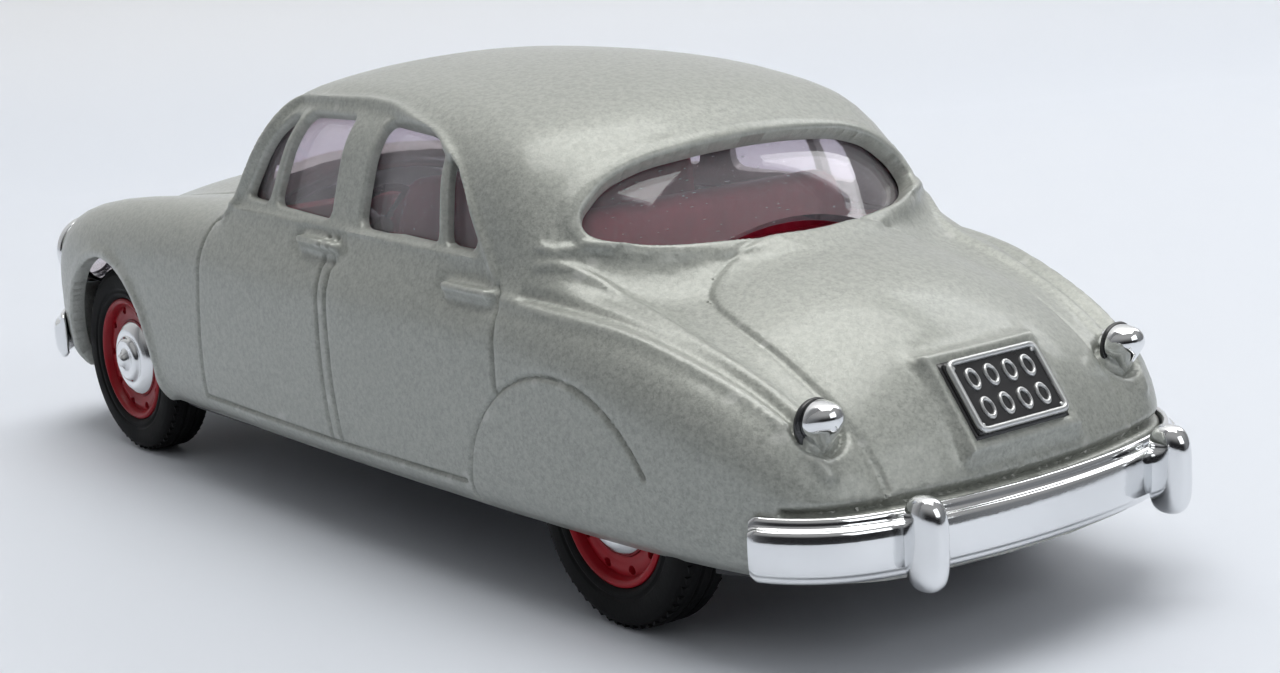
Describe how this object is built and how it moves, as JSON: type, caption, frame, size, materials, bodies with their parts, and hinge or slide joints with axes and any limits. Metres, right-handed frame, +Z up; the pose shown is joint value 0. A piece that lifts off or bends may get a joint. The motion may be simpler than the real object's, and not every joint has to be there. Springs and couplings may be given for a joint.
{
  "type": "diecast saloon car model",
  "caption": "Small-scale diecast four-door saloon with a one-piece painted body, glazed cabin, chrome bumpers and free-rolling wheels on steel axles.",
  "frame": {"origin": "on the ground under the middle of the car, at the bottom centre of its bounding box", "axes": "+X forward towards the nose, +Y to the car's left, +Z up"},
  "size_m": [0.107, 0.0392, 0.0333],
  "materials": {
    "paint": "fine metallic silver-grey",
    "base": "satin black",
    "trim_red": "dark red, satin",
    "wheel_red": "bright red, semi-gloss",
    "clear": "clear moulding, slightly tinted",
    "bright": "vacuum plated",
    "steel": "drawn rod",
    "tyre": "matt",
    "plate": "black with silvered relief"
  },
  "bodies": {
    "car": {"body_shell": "paint", "base_plate": "base", "interior_tub": "trim_red", "dashboard": "trim_red", "steering_wheel": "base", "window_unit": "clear", "headlamp_lens_left": "clear", "headlamp_lens_right": "clear", "grille": "bright", "headlamp_bezel_left": "bright", "headlamp_bezel_right": "bright", "fog_lamp_left": "bright", "fog_lamp_right": "bright", "front_bumper": "bright", "rear_bumper": "bright", "tail_lamp_left": "bright", "tail_lamp_right": "bright", "number_plate_front": "plate", "number_plate_rear": "plate", "base_screw_front": "steel", "base_screw_rear": "steel"},
    "front_wheelset": {"axle_front": "steel", "tyre_front_left": "tyre", "tyre_front_right": "tyre", "wheel_front_left": "wheel_red", "wheel_front_right": "wheel_red", "hub_cap_front_left": "bright", "hub_cap_front_right": "bright"},
    "rear_wheelset": {"axle_rear": "steel", "tyre_rear_left": "tyre", "tyre_rear_right": "tyre", "wheel_rear_left": "wheel_red", "wheel_rear_right": "wheel_red", "hub_cap_rear_left": "bright", "hub_cap_rear_right": "bright"}
  },
  "joints": [
    {"name": "front_axle_spin", "type": "hinge", "parent": "car", "child": "front_wheelset", "pos_m": [0.0354, 0, 0.0078], "axis": [0, 1, 0], "continuous": true},
    {"name": "rear_axle_spin", "type": "hinge", "parent": "car", "child": "rear_wheelset", "pos_m": [-0.0306, 0, 0.0078], "axis": [0, 1, 0], "continuous": true}
  ]
}
